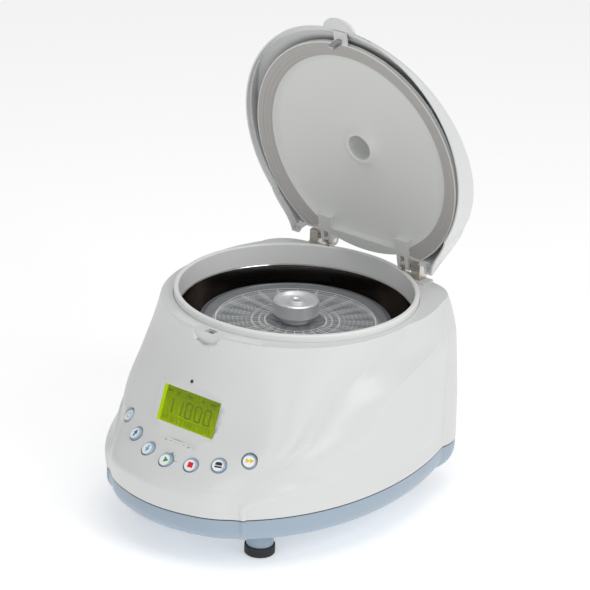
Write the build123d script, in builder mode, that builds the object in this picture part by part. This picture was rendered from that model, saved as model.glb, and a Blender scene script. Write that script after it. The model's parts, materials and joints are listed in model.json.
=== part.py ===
from build123d import *
import os
from math import atan2, cos, degrees, hypot, radians, sin
from numpy import interp

os.makedirs("parts", exist_ok=True)

# Driving dimensions in millimetres. Heights are above the table. In plan, x is to the right and
# y to the back, both from the rotor's axis, which stands axis_y behind the middle of the object.
axis_y = 35.5
seam_z = 59.0
top_z = 218.5
wall = 3.2
fit_gap = 0.35
running_gap = 0.05

# Chamber, its collar and its steel bowl
bore_r = 120.0
collar_wall = 5.0
lip_z = 225.8
lip_round = 1.6
bowl_rim_z = 203.0
bowl_floor_z = 150.0
bowl_sheet = 1.2
bowl_corner_r = 14.0
bowl_hole_r = 12.0
ledge_h = 3.2

# Rotor, reader cover and knob
rotor_r = 98.6
rotor_rim_z = 191.0
rotor_floor_z = 181.0
rotor_web = 4.0
rim_w = 4.0
slot_count = 24
slot_w = 2.4
slot_depth = 2.0
slot_start_r = 20.0
slot_end_r = 82.0
tube_seal_w = 4.0
tube_seal_h = 4.0
hub_r = 15.0
hub_drop = 12.0
cover_z = 188.4
cover_t = 2.2
knob_r = 23.5
knob_h = 16.0
knob_top_z = 213.2
knob_neck_r = 16.0
knob_dish_depth = 3.0
knob_boss_r = 9.0
stud_r = 3.5
stud_top_z = 207.0

# Drive
shaft_r = 5.0
motor_r = 42.0
motor_h = 56.0
motor_plate_r = 96.0
motor_plate_t = 4.0
motor_plate_z = 110.0
post_at = 62.0
post_r = 9.0
damper_h = 9.0
bearing_r = 13.0
bearing_h = 9.0
boot_r = 17.0
boot_wall = 2.0
shaft_bottom_z = 60.0

# Base tub and feet
tub_bottom_z = 29.5
tub_gap = 1.4
seal_inset = 1.0
boss_r = 13.75
foot_r = 15.5
foot_h = 10.5
front_foot = (70.9, -134.0)
rear_foot = (78.0, 92.0)

# Lid, in the closed position
lid_margin = 11.0
lid_center_y = -10.9
lid_edge_z = 220.3
lid_open = 78.0
hinge_y = 117.0
hinge_z = 232.0
lid_wall = 2.6
hinge_notch_x = 83.0
hinge_notch_y = 105.0
lid_ear = ((113.8, 66, 34.0), (104, 86, 28.4), (96.5, 98, 24.0), (92, 113, 17.0))
lid_rear = ((113.6, 222), (104, 238), (93, 251), (77, 263), (48, 276))
gasket_past_lip = 1.3
gasket_w = 15.3
gasket_t = 2.3
gasket_sealing_w = 3.5
crown_z = 270.5
crown_tilt = 6.7
crown_drop = ((0, 0), (49, 2.2), (80, 6), (105, 12.5), (122, 19), (132, 24), (137.3, 28), (143, 36),
              (150, 49), (158, 68))
liner_z = 224.0
liner_rim_w = 1.6
liner_back_x = 76.0
lid_post_r = 5.0
hinge_block_x = 60.0
hinge_block_top_z = 238.0
recess_half_w = 40.0
crossbar_half_w = 44.0
crossbar_bow = 112.0
crossbar_t = 2.6
window_z = 267.4
lid_posts = [(78, 62), (-78, 62), (84, -64), (-84, -64)]
grip_half_w = 19.0
grip_reach = 10.0
grip_t = 3.0
striker_boss = (12.0, 6.4)
striker_boss_t = 2.2
sight_y = -5.0
sight_r = 13.5
sight_wall = 2.0
liner_center_z = 238.0
liner_rim_z = 229.6
liner_t = 2.2
striker_w = 6.0
striker_t = 4.4
striker_top_z = 229.2
striker_end_z = 206.0
striker_eye_z = 211.0
striker_eye_r = 1.4
striker_eye_l = 9.0

# Hinges
leg_x = 50.2
leg_w = 4.6
leg_round_r = 6.5
leg_d = 9.0
ear_w = 4.4
ear_r = 5.8
ear_arm_y = 99.0
leg_notch = 0.8
post_block_x = 67.0
post_block_w = 11.0
post_block_d = 12.5
post_block_top_z = 240.0
pin_r = 2.5
platform_x = 81.0
platform_y = 107.5
platform_h = 2.0

# Control panel
display_w = 74.0
display_h = 37.0
display_x = -3.0
display_top = (-159.75, 159.6)
display_bottom = (-172.6, 124.8)
display_set = 4.0
display_bevel = 7.0
window_set = 2.2
window_t = 1.5
module_margin = 3.5
module_t = 8.0
lamp_r = 1.7
lamp_at = (-5.0, 170.0)
button_r = 8.0
button_stand = 2.4
button_skirt = 9.0
button_travel = 1.0
button_label_r = 6.7
button_label_t = 0.8
guide_wall = 1.9
guide_depth = 15.0
switch_t = 5.0
stem_r = 2.0

# Back panel
inlet_w = 28.0
inlet_h = 20.0
rocker_w = 13.0
rocker_h = 21.0
back_plate_w = 104.0
back_plate_h = 40.0
back_plate_t = 2.4
back_plate_z = 92.0
inlet_x = 22.0
inlet_depth = 15.0
rocker_x = -24.0
rocker_depth = 14.0
rocker_pivot = -4.0
rocker_swing = 14.0
rocker_axle_r = 1.4

# Latch
latch_slot_w = 11.0
latch_slot_d = 8.0
latch_y = -133.6
latch_body_l = 26.0
latch_body_h = 12.0
latch_body_d = 7.9
coil_l = 15.0
coil_d = 5.0
bolt_r = 1.1
bolt_l = 22.0
bolt_travel = 7.5
bolt_past_eye = 0.3
thumb_half_w = 16.5
thumb_h = 11.0
thumb_depth = 2.8
thumb_backing = 2.3

# Label, boards and screws
label_t = 0.3
label_turns = (8.0, 25.0)
label_rim = (129.8, 139.5)
board_t = 1.6
standoff_h = 8.0
transformer_size = (56.0, 44.0, 42.0)
screw_r = 2.0
screw_head_r = 4.0
screw_head_h = 3.0


def level(z):
    """Horizontal plane at height z with its origin on the rotor's axis."""
    return Plane((0, axis_y, z), x_dir=(1, 0, 0), z_dir=(0, 0, 1))


def lid_level(z):
    """The plane that is level(z) when the lid is shut, turned up with the open lid."""
    turn = radians(lid_open)
    up = Vector(0, sin(turn), cos(turn))
    back = Vector(0, cos(turn), -sin(turn))
    origin = Vector(0, axis_y + hinge_y, hinge_z) - back * hinge_y + up * (z - hinge_z)
    return Plane(origin, x_dir=(1, 0, 0), z_dir=up)


def side_plane(x):
    """Upright plane at x, looking along +X: its first axis runs to the back, its second up."""
    return Plane((x, axis_y, 0), x_dir=(0, 1, 0), z_dir=(1, 0, 0))


def lid_side_plane(x):
    """The same upright plane, turned up with the open lid."""
    base = lid_level(0)
    return Plane(base.origin + Vector(x, 0, 0), x_dir=base.y_dir, z_dir=(1, 0, 0))


def reading(table, z):
    """Value of a height table at z, each row a height and a value, carried on past both ends."""
    if z < table[0][0]:
        return 2 * table[0][1] - reading(table, 2 * table[0][0] - z)
    if z > table[-1][0]:
        return 2 * table[-1][1] - reading(table, 2 * table[-1][0] - z)
    return float(interp(z, [row[0] for row in table], [row[1] for row in table]))


def at(table, z, blur=11.0):
    """The table's value at z, evened out over blur above and below, so that the loft has no ripples."""
    return sum(reading(table, z + blur * k / 6) * (7 - abs(k)) for k in range(-6, 7)) / 49


# The casing's outline by height. Reach is how far a place stands from the rotor's axis.
front_reach = ((59, 217.5), (72, 219.5), (84, 222), (88, 219.5), (92, 212), (100, 197.5), (112, 182.5),
               (124.8, 172.6), (159.6, 159.8), (179, 150.5), (205, 144.5), (218.5, 143))
shoulder_turn = ((59, 20.1), (86, 19), (92, 21.8), (100, 25.7), (112, 34), (122, 38), (143, 41), (218.5, 45))
shoulder_reach = ((59, 209.3), (80, 213.6), (86, 214.7), (92, 201.9), (100, 189.2), (112, 179.5),
                  (122, 174.8), (143, 166.6), (169, 156.5), (200, 144.5), (218.5, 138.6))
ridge_x = ((59, 86), (80, 85.5), (86, 85), (92, 93), (99, 101), (104, 109), (113, 114), (143, 119),
           (161, 120), (187, 126), (202, 130), (218.5, 131.5))
ridge_y = ((59, -186), (80, -190), (86, -184), (92, -171), (99, -159), (104, -147), (113, -135),
           (132, -106), (154, -83), (169, -64), (187, -38), (202, -12), (218.5, 18))
valley_in = ((59, 0.8), (80, 2.6), (104, 4.2), (115, 5.5), (150, 5.5), (170, 3.5), (190, 1.5), (218.5, 0.3))
valley_front = ((59, 0.8), (80, 2.4), (104, 3.8), (218.5, 3.8))
wave_y = ((59, -181), (72, -182), (80, -170), (86, -138), (90, -117), (97, -93), (105, -81), (117, -69),
          (130, -56), (147, -43), (160, -28), (170, -8), (178, 25), (183, 48), (187, 72), (218.5, 76))
band_bulge = ((59, 2), (90, 4), (165, 2.5), (178, 4), (190, 7), (200, 6), (218.5, 4))
wall_outline = ((-195, 70), (-179, 94), (-160, 110), (-137, 123), (-110, 133), (-80, 140), (-47, 146.5),
                (0, 149), (36, 146.5), (71, 140), (99, 132))
side_inset = ((59, 0), (111, 1), (159, 2.5), (182, 3.5), (200, 8), (211, 12), (218.5, 14.5))
corner_x = ((59, 124), (159, 125), (182, 127), (196, 124), (211, 120), (218.5, 117))
corner_y = ((59, 119), (111, 116.5), (159, 109.5), (182, 102), (196, 101), (211, 99.5), (218.5, 99))
rear_inset = ((59, 0), (111, 2), (159, 5), (182, 9), (196, 14), (211, 21), (218.5, 26))
rear_reach = 150.0
casing_heights = (seam_z, 67, 75, 82, 88, 95, 105, 118, 134, 152, 170, 186, 200, 210, top_z)
cavity_heights = (seam_z - 2,) + casing_heights[1:-1] + (top_z - wall,)


def polar(turn, reach):
    """Point of the front right quarter, turn degrees round from the front."""
    return (reach * sin(radians(turn)), -reach * cos(radians(turn)))


def wall_point(z, y):
    return (at(wall_outline, y, 0) - at(side_inset, z), y)


def right_half(z):
    """The right half of the casing's outline, as five runs of points from the front to the back."""
    ridge = (at(ridge_x, z), at(ridge_y, z))
    valley = (ridge[0] - at(valley_in, z), ridge[1] - at(valley_front, z))
    valley_turn = degrees(atan2(valley[0], -valley[1]))
    valley_reach = hypot(*valley)
    front = at(front_reach, z, 4)
    turn = at(shoulder_turn, z)
    shoulder = at(shoulder_reach, z)
    near = front + (shoulder - front) * 0.3
    beyond = valley_reach + (shoulder - valley_reach) * 0.35
    panel = [(0, -front), polar(turn * 0.55, near), polar(turn, shoulder)]
    panel += [polar((turn + valley_turn) / 2, beyond), valley]
    wave = wall_point(z, at(wave_y, z))
    chord = Vector(wave[0] - ridge[0], wave[1] - ridge[1])
    bulge = at(band_bulge, z) / chord.length
    middle = ((ridge[0] + wave[0]) / 2 - chord.Y * -bulge, (ridge[1] + wave[1]) / 2 - chord.X * bulge)
    corner = (at(corner_x, z), at(corner_y, z))
    meet = (at(wall_outline, 84, 0) * 0.5 + corner[0] * 0.5 - at(side_inset, z) * 0.5, 88)
    steps = [wave[1] + (meet[1] - wave[1]) * share for share in (0.25, 0.5, 0.75)]
    side = [wave] + [wall_point(z, y) for y in steps[:2]] + [meet]
    inset = at(rear_inset, z)
    back = [meet, corner, (103 - inset * 0.15, 137 - inset * 0.75), (76, 147 - inset * 0.92)]
    back += [(0, rear_reach - inset * 0.7)]
    return panel, [valley, ridge], [ridge, middle, wave], side, back


def casing_outline(z, inset=0.0, share=1.0):
    """Draws the closed outline at height z, drawn in towards the axis by inset and then by share."""

    def drawn_in(points):
        kept = [share * (1 - inset / hypot(x, y)) for x, y in points]
        return [(x * k, y * k) for (x, y), k in zip(points, kept)]

    panel, step, band, side, back = [drawn_in(points) for points in right_half(z)]

    def mirrored(points):
        return [(-x, y) for x, y in reversed(points)]

    Spline(*(mirrored(panel) + panel[1:]))
    for side_run in (step, band, side):
        Spline(*side_run)
        Spline(*mirrored(side_run))
    Spline(*(back + mirrored(back)[1:]))


def casing_sections(heights, inset=0.0):
    """The outline at each height as a flat face, ready to be lofted."""
    sections = []
    for z in heights:
        with BuildSketch(level(z)) as section:
            with BuildLine():
                casing_outline(z, inset)
            make_face()
        sections.append(section.sketch)
    return sections


# Places on the control panel
display_slope = degrees(atan2(display_top[1] - display_bottom[1], display_top[0] - display_bottom[0]))
display_mid = ((display_top[0] + display_bottom[0]) / 2, (display_top[1] + display_bottom[1]) / 2)
display_face = Plane((display_x, axis_y + display_mid[0], display_mid[1]), x_dir=(1, 0, 0),
                     z_dir=(0, -sin(radians(display_slope)), cos(radians(display_slope))))
button_tilt = 45.0
button_turn = 0.38
button_names = ("power", "up", "down", "start", "stop", "open", "spin")
button_places = ((77.9, -162.7, 111.7), (53.8, -180.4, 105.5), (27.7, -191.8, 101.1), (0, -197.2, 99.7))


def button_plane(index):
    """Plane on the panel's surface at a button, facing out of the panel."""
    x, y, z = button_places[min(index, 6 - index)]
    side = -1 if index < 3 else 1
    turn = radians(button_turn * x) * side
    flat, rise = cos(radians(button_tilt)), sin(radians(button_tilt))
    out = Vector(sin(turn) * flat, -cos(turn) * flat, rise)
    across = Vector(cos(turn), sin(turn), 0)
    return Plane((x * side, axis_y + y, z), x_dir=across, z_dir=out)


# Sizes that follow from the driving ones
collar_r = bore_r + collar_wall
gasket_r = collar_r + gasket_past_lip
gasket_inner_r = gasket_r - gasket_w
lid_r = gasket_r + lid_margin
skirt_r = collar_r + fit_gap + wall
guide_r = button_r + fit_gap + guide_wall
frame_w = display_w + 2 * (module_margin + wall)
frame_h = display_h + 2 * (module_margin + wall)
frame_depth = display_set + window_set + window_t + 2.0
pillar_r = 5.5
pillar_places = [(96, -128), (-96, -128), (102, 92), (-102, 92)]
back_face_y = rear_reach - 5.0
back_face = Plane((0, axis_y + back_face_y, back_plate_z), x_dir=(-1, 0, 0), z_dir=(0, 1, 0))
ledge_z = bowl_rim_z - bowl_sheet - 0.3
chamber_r = bore_r + bowl_sheet + fit_gap
frame_plane = display_face.offset(-display_set)
lamp_up = (lamp_at[1] - display_mid[1]) / sin(radians(display_slope))
thumb_y = -at(front_reach, top_z, 4) + thumb_depth


def save(part, name):
    """Labels a finished sub-part and writes its file."""
    part.label = name
    export_step(part, "parts/" + name + ".step")


def turned(points):
    """Solid turned about the rotor's axis from a closed run of (radius, height) points."""
    with BuildPart() as solid:
        with BuildSketch(side_plane(0)):
            with BuildLine():
                Polyline(*points, close=True)
            make_face()
        revolve(axis=Axis((0, axis_y, 0), (0, 0, 1)))
    return solid.part


with BuildPart() as cavity:
    loft(casing_sections(cavity_heights, inset=wall))
    with BuildSketch(level(ledge_z - ledge_h)):
        Circle(skirt_r)
    extrude(amount=top_z - ledge_z + ledge_h, mode=Mode.SUBTRACT)
    with BuildSketch(display_face.offset(-frame_depth)):
        Rectangle(frame_w, frame_h + 2 * display_bevel)
    extrude(amount=30, mode=Mode.SUBTRACT)
    for i in range(len(button_names)):
        with BuildSketch(button_plane(i).offset(-guide_depth)):
            Circle(guide_r)
        extrude(amount=30, mode=Mode.SUBTRACT)
    with BuildSketch(level(seam_z)):
        with Locations(*pillar_places):
            Circle(pillar_r)
    extrude(amount=top_z - seam_z, mode=Mode.SUBTRACT)
    with BuildSketch(back_face):
        Rectangle(back_plate_w + 2 * wall, back_plate_h + 2 * wall)
    extrude(amount=-wall - back_plate_t, mode=Mode.SUBTRACT)
    with BuildSketch(back_face):
        Rectangle(back_plate_w + 2 * wall, back_plate_h + 2 * wall)
    extrude(amount=30, mode=Mode.SUBTRACT)
    with BuildSketch(Plane((0, axis_y + thumb_y + thumb_backing, top_z), x_dir=(1, 0, 0), z_dir=(0, -1, 0))):
        Rectangle(2 * thumb_half_w + 6, 2 * thumb_h + 8)
    extrude(amount=20, mode=Mode.SUBTRACT)

# White casing: one moulded shell with the control panel, open underneath
with BuildPart() as casing:
    loft(casing_sections(casing_heights))
    add(cavity.part, mode=Mode.SUBTRACT)
    with BuildSketch(level(top_z)):
        with Locations((0, (platform_y + rear_reach - 26) / 2)):
            Rectangle(2 * platform_x, rear_reach - 26 - platform_y)
    extrude(amount=platform_h)
    with BuildSketch(level(ledge_z - ledge_h - 1)):
        Circle(chamber_r)
    extrude(amount=60, mode=Mode.SUBTRACT)
    with BuildSketch(level(ledge_z)):
        Circle(collar_r + fit_gap)
    extrude(amount=60, mode=Mode.SUBTRACT)
    with BuildSketch(frame_plane):
        Rectangle(display_w, display_h)
    with BuildSketch(display_face.offset(display_set)):
        Rectangle(display_w, display_h + 4 * display_bevel)
    loft(mode=Mode.SUBTRACT)
    with BuildSketch(frame_plane.offset(0.1)):
        Rectangle(display_w, display_h)
    extrude(amount=-window_set - 0.2, mode=Mode.SUBTRACT)
    with BuildSketch(frame_plane.offset(-window_set)):
        Rectangle(display_w + 2 * module_margin, display_h + 2 * module_margin)
    extrude(amount=-20, mode=Mode.SUBTRACT)
    with BuildSketch(display_face.offset(6)):
        with Locations((lamp_at[0] - display_x, lamp_up)):
            Circle(lamp_r)
    extrude(amount=-24, mode=Mode.SUBTRACT)
    for i in range(len(button_names)):
        with BuildSketch(button_plane(i).offset(8)):
            Circle(button_r + fit_gap)
        extrude(amount=-guide_depth - 12, mode=Mode.SUBTRACT)
    with BuildSketch(back_face.offset(-back_plate_t)):
        Rectangle(back_plate_w, back_plate_h)
    extrude(amount=20, mode=Mode.SUBTRACT)
    with BuildSketch(back_face):
        Rectangle(back_plate_w - 4 * wall, back_plate_h - 2 * wall)
    extrude(amount=-20, mode=Mode.SUBTRACT)
    with BuildSketch(level(top_z + 1)):
        with Locations((0, latch_y)):
            Rectangle(latch_slot_w, latch_slot_d)
    extrude(amount=-2 * wall, mode=Mode.SUBTRACT)
    with BuildSketch(Plane((0, axis_y + thumb_y, top_z), x_dir=(1, 0, 0), z_dir=(0, -1, 0))):
        Ellipse(thumb_half_w, thumb_h)
    extrude(amount=20, taper=-12, mode=Mode.SUBTRACT)
    with BuildSketch(level(seam_z - 1)):
        with Locations(*pillar_places):
            Circle(screw_r + running_gap)
    extrude(amount=22, mode=Mode.SUBTRACT)
save(casing.part, "upper_casing")

# Blue base tub with its foot bosses, pillars and posts
tub_top_z = seam_z - tub_gap
tub_shares = ((tub_bottom_z, 0.905), (32.5, 0.942), (37, 0.973), (43, 0.991), (50, 0.998),
              (tub_top_z, 0.998))
feet = [(sx * x, y) for x, y in (front_foot, rear_foot) for sx in (-1, 1)]
floor_z = tub_bottom_z + wall
posts = [(sx * post_at, sy * post_at) for sx in (-1, 1) for sy in (-1, 1)]
post_top_z = motor_plate_z - damper_h
board_size = (110.0, 60.0)
board_y = -145.0
standoffs = [(sx * 46, board_y + sy * 22) for sx in (-1, 1) for sy in (-1, 1)]


def tub_sections(inset, floor):
    sections = []
    for z, share in tub_shares:
        with BuildSketch(level(floor if z == tub_bottom_z else z + (inset > 0) * 1.5)) as section:
            with BuildLine():
                casing_outline(seam_z, inset, share)
            make_face()
        sections.append(section.sketch)
    return sections


with BuildPart() as tub_hollow:
    loft(tub_sections(wall, floor_z))
    for places, radius, height in ((posts, post_r, post_top_z), (pillar_places, pillar_r, seam_z),
                                   (standoffs, 3.5, floor_z + standoff_h)):
        with BuildSketch(level(floor_z - 1)):
            with Locations(*places):
                Circle(radius)
        extrude(amount=height - floor_z + 1, mode=Mode.SUBTRACT)

with BuildPart() as tub:
    loft(tub_sections(0.0, tub_bottom_z))
    add(tub_hollow.part, mode=Mode.SUBTRACT)
    with BuildSketch(level(foot_h)):
        with Locations(*feet):
            Circle(boss_r)
    extrude(amount=floor_z - foot_h)
    with BuildSketch(level(floor_z - 0.5)):
        with Locations(*posts):
            Circle(post_r)
    extrude(amount=post_top_z - floor_z + 0.5)
    with BuildSketch(level(floor_z - 0.5)):
        with Locations(*pillar_places):
            Circle(pillar_r)
    extrude(amount=seam_z - floor_z + 0.5)
    with BuildSketch(level(tub_bottom_z - 1)):
        with Locations(*pillar_places):
            Circle(screw_r + 0.5)
    extrude(amount=60, mode=Mode.SUBTRACT)
    with BuildSketch(level(tub_bottom_z - 1)):
        with Locations(*pillar_places):
            Circle(screw_head_r + 0.3)
    extrude(amount=1 + screw_head_h + 1.5, mode=Mode.SUBTRACT)
save(tub.part, "base_tub")

with BuildPart() as seal:
    for inset, mode in ((seal_inset, Mode.ADD), (seal_inset + wall, Mode.SUBTRACT)):
        with BuildSketch(level(tub_top_z), mode=Mode.PRIVATE) as ring:
            with BuildLine():
                casing_outline(seam_z, inset)
            make_face()
        extrude(ring.sketch, amount=tub_gap, mode=mode)
save(seal.part, "seam_seal")

with BuildPart() as pads:
    with BuildSketch(level(0)):
        with Locations(*feet):
            Circle(foot_r)
    extrude(amount=foot_h)
    chamfer(pads.edges().group_by(Axis.Z)[0], 1.2)
    fillet(pads.edges().group_by(Axis.Z)[-1], 1.0)
save(pads.part, "rubber_feet")

with BuildPart() as screws:
    head_z = tub_bottom_z + 1.2
    with BuildSketch(level(head_z)):
        with Locations(*pillar_places):
            Circle(screw_head_r)
    extrude(amount=screw_head_h)
    with BuildSketch(level(head_z)):
        with Locations(*pillar_places):
            Circle(screw_r)
    extrude(amount=seam_z + 18 - head_z)
    with BuildSketch(level(head_z)):
        with Locations(*pillar_places):
            RegularPolygon(1.7, 6)
    extrude(amount=1.8, mode=Mode.SUBTRACT)
save(screws.part, "case_screws")

# Chamber: grey collar with its raised lip, and the steel bowl that hangs under it
collar_bottom_z = bowl_rim_z + 0.3
with BuildPart() as collar:
    turns = [radians(30 * k) for k in range(4)]
    outer_lip = [(collar_r - lip_round * (1 - cos(t)), lip_z - lip_round * (1 - sin(t))) for t in turns]
    inner_lip = [(bore_r + collar_r - r, z) for r, z in reversed(outer_lip)]
    add(turned([(bore_r, collar_bottom_z), (collar_r, collar_bottom_z)] + outer_lip + inner_lip))
    with BuildSketch(level(top_z - fit_gap)):
        with Locations((leg_x, hinge_y), (-leg_x, hinge_y)):
            Rectangle(leg_w + 2 * leg_notch, leg_d + 2 * leg_notch)
    extrude(amount=20, mode=Mode.SUBTRACT)
save(collar.part, "chamber_collar")

with BuildPart() as bowl:
    with BuildSketch(side_plane(0)):
        with BuildLine():
            rim = Polyline((collar_r - 0.7, bowl_rim_z), (collar_r - 0.7, bowl_rim_z - bowl_sheet),
                           (bore_r + bowl_sheet, bowl_rim_z - bowl_sheet),
                           (bore_r + bowl_sheet, bowl_floor_z + bowl_corner_r))
            outer = RadiusArc(rim @ 1, (bore_r - bowl_corner_r + bowl_sheet, bowl_floor_z - bowl_sheet),
                              bowl_corner_r)
            under = Polyline(outer @ 1, (bowl_hole_r, bowl_floor_z - bowl_sheet), (bowl_hole_r, bowl_floor_z),
                             (bore_r - bowl_corner_r, bowl_floor_z))
            inner = RadiusArc(under @ 1, (bore_r, bowl_floor_z + bowl_corner_r), -bowl_corner_r)
            Polyline(inner @ 1, (bore_r, bowl_rim_z), rim @ 0)
        make_face()
    revolve(axis=Axis((0, axis_y, 0), (0, 0, 1)))
save(bowl.part, "steel_bowl")


# Drive: dampers, plate, motor, bearing, boot and shaft
with BuildPart() as dampers:
    with BuildSketch(level(post_top_z)):
        with Locations(*posts):
            Circle(post_r)
    extrude(amount=damper_h)
save(dampers.part, "rubber_dampers")

plate_top_z = motor_plate_z + motor_plate_t
with BuildPart() as motor_plate:
    with BuildSketch(level(motor_plate_z)):
        Circle(motor_plate_r)
        Circle(shaft_r + 2, mode=Mode.SUBTRACT)
    extrude(amount=motor_plate_t)
save(motor_plate.part, "motor_plate")

motor_bottom_z = motor_plate_z - motor_h
with BuildPart() as motor:
    with BuildSketch(level(motor_bottom_z)):
        Circle(motor_r)
    extrude(amount=motor_h)
    fillet(motor.edges().group_by(Axis.Z)[0], 4)
    with BuildSketch(level(shaft_bottom_z - 1)):
        Circle(shaft_r + running_gap)
    extrude(amount=motor_h, mode=Mode.SUBTRACT)
save(motor.part, "motor")

with BuildPart() as bearing:
    with BuildSketch(level(plate_top_z)):
        Circle(bearing_r)
        Circle(shaft_r + running_gap, mode=Mode.SUBTRACT)
    extrude(amount=bearing_h)
save(bearing.part, "top_bearing")

with BuildPart() as boot:
    with BuildSketch(level(plate_top_z)):
        Circle(boot_r)
        Circle(boot_r - boot_wall, mode=Mode.SUBTRACT)
    extrude(amount=bowl_floor_z - bowl_sheet - plate_top_z)
save(boot.part, "shaft_boot")

stud_start_z = cover_z - 1
with BuildPart() as shaft:
    with BuildSketch(level(shaft_bottom_z)):
        Circle(shaft_r)
    extrude(amount=stud_start_z - shaft_bottom_z)
    with BuildSketch(level(stud_start_z)):
        Circle(stud_r)
    extrude(amount=stud_top_z - stud_start_z)
    chamfer(shaft.edges().group_by(Axis.Z)[-1], 0.8)
    with BuildSketch(level(stud_top_z)):
        RegularPolygon(1.6, 6)
    extrude(amount=-2.5, mode=Mode.SUBTRACT)
save(shaft.part, "motor_shaft")

# Rotor with its tube slots, tube seal, clear cover and knob
rotor_bottom_z = rotor_floor_z - rotor_web
hub_top_z = cover_z - 0.1
hub_bore_r = shaft_r + running_gap
rotor_points = ((hub_bore_r, rotor_bottom_z - hub_drop), (hub_r, rotor_bottom_z - hub_drop),
                (hub_r, rotor_bottom_z), (rotor_r, rotor_bottom_z), (rotor_r, rotor_rim_z),
                (rotor_r - rim_w, rotor_rim_z), (rotor_r - rim_w, rotor_floor_z), (hub_r, rotor_floor_z),
                (hub_r, hub_top_z), (hub_bore_r, hub_top_z))
with BuildPart() as rotor:
    add(turned(rotor_points))
    fillet(rotor.edges().group_by(Axis.Z)[-1], 1.2)
    with BuildSketch(level(rotor_floor_z)):
        with PolarLocations((slot_start_r + slot_end_r) / 2, slot_count):
            Rectangle(slot_end_r - slot_start_r, slot_w)
    extrude(amount=-slot_depth, mode=Mode.SUBTRACT)
save(rotor.part, "rotor_disc")

seal_inner_r = slot_end_r + 0.5
tube_seal = turned(((seal_inner_r, rotor_floor_z), (seal_inner_r + tube_seal_w, rotor_floor_z),
                    (seal_inner_r + tube_seal_w, rotor_floor_z + tube_seal_h),
                    (seal_inner_r, rotor_floor_z + tube_seal_h)))
save(tube_seal, "tube_seal")

cover_r = rotor_r - rim_w - fit_gap
knob_bore_r = stud_r + running_gap
cover = turned(((knob_bore_r, cover_z), (cover_r, cover_z), (cover_r, cover_z + cover_t),
                (knob_bore_r, cover_z + cover_t)))
save(cover, "reader_cover")

knob_bottom_z = knob_top_z - knob_h
knob_points = ((knob_bore_r, cover_z + cover_t), (knob_neck_r, cover_z + cover_t),
               (knob_neck_r, knob_bottom_z), (knob_r - 1.5, knob_bottom_z), (knob_r, knob_bottom_z + 1.5),
               (knob_r, knob_top_z - 1.5), (knob_r - 1.5, knob_top_z), (knob_r - 3.5, knob_top_z),
               (knob_r - 5.0, knob_top_z - knob_dish_depth), (knob_boss_r, knob_top_z - knob_dish_depth),
               (knob_boss_r, knob_top_z - 1.0), (knob_boss_r - 1.2, knob_top_z - 0.2),
               (5.0, knob_top_z - 0.2), (knob_bore_r, knob_top_z - 2.0))
knob = turned(knob_points)
save(knob, "rotor_knob")

# Lid, drawn shut on planes that are turned up with the open lid
window_hole_r = sight_r + sight_wall
lid_axis = Axis(lid_level(0).origin, lid_level(0).z_dir)


def lid_outline(inset=0.0):
    """Draws the lid's plan outline: a round front, two rear ears and the hinge notch between them."""
    right = [(x - inset * cos(radians(turn)), y - inset * sin(radians(turn))) for x, y, turn in lid_ear]
    right[-1] = (right[-1][0], right[-1][1] - inset * 0.7)
    left = [(-x, y) for x, y in right]
    notch_x, notch_y = hinge_notch_x + inset, hinge_notch_y - inset
    ThreePointArc(left[0], (0, lid_center_y - lid_r + inset), right[0])
    Spline(*right)
    Spline(*left)
    Polyline(right[-1], (notch_x, right[-1][1]), (notch_x, notch_y), (-notch_x, notch_y),
             (-notch_x, right[-1][1]), left[-1])


def dome_solid(inset):
    """The lid's outside form, or its inside form when it is drawn in by the wall."""
    tilt = radians(crown_tilt)
    base = lid_level(crown_z - inset)
    slope = base.y_dir * cos(tilt) + base.z_dir * sin(tilt)
    crown = Plane(base.origin + base.y_dir * lid_center_y, x_dir=slope, z_dir=(1, 0, 0))
    drops = [(r * (1 - inset / lid_r), -drop) for r, drop in crown_drop]
    with BuildPart() as dome:
        with BuildSketch(crown):
            with BuildLine():
                Spline(*drops, tangents=[(1, 0), (0.42, -1)])
                Polyline(drops[-1], (drops[-1][0], -95), (0, -95), drops[0])
            make_face()
        revolve(axis=Axis(crown.origin, crown.y_dir))
        with BuildSketch(lid_side_plane(-160)):
            with BuildLine():
                curve = Spline(*[(y - inset, z - inset * (z > 255)) for y, z in lid_rear])
                Polyline(curve @ 1, (curve @ 1 + Vector(0, 30)), (150, 300), (150, 222), curve @ 0)
            make_face()
        extrude(amount=320, mode=Mode.SUBTRACT)
    with BuildPart() as form:
        with BuildSketch(lid_level(liner_z + liner_t if inset else lid_edge_z)):
            with BuildLine():
                lid_outline(inset)
            make_face()
        extrude(amount=70)
        add(dome.part, mode=Mode.INTERSECT)
    return form.part


with BuildPart() as lid_hollow:
    add(dome_solid(lid_wall))
    with BuildSketch(lid_level(liner_z)):
        with Locations(*lid_posts):
            Circle(lid_post_r)
    extrude(amount=80, mode=Mode.SUBTRACT)

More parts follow.
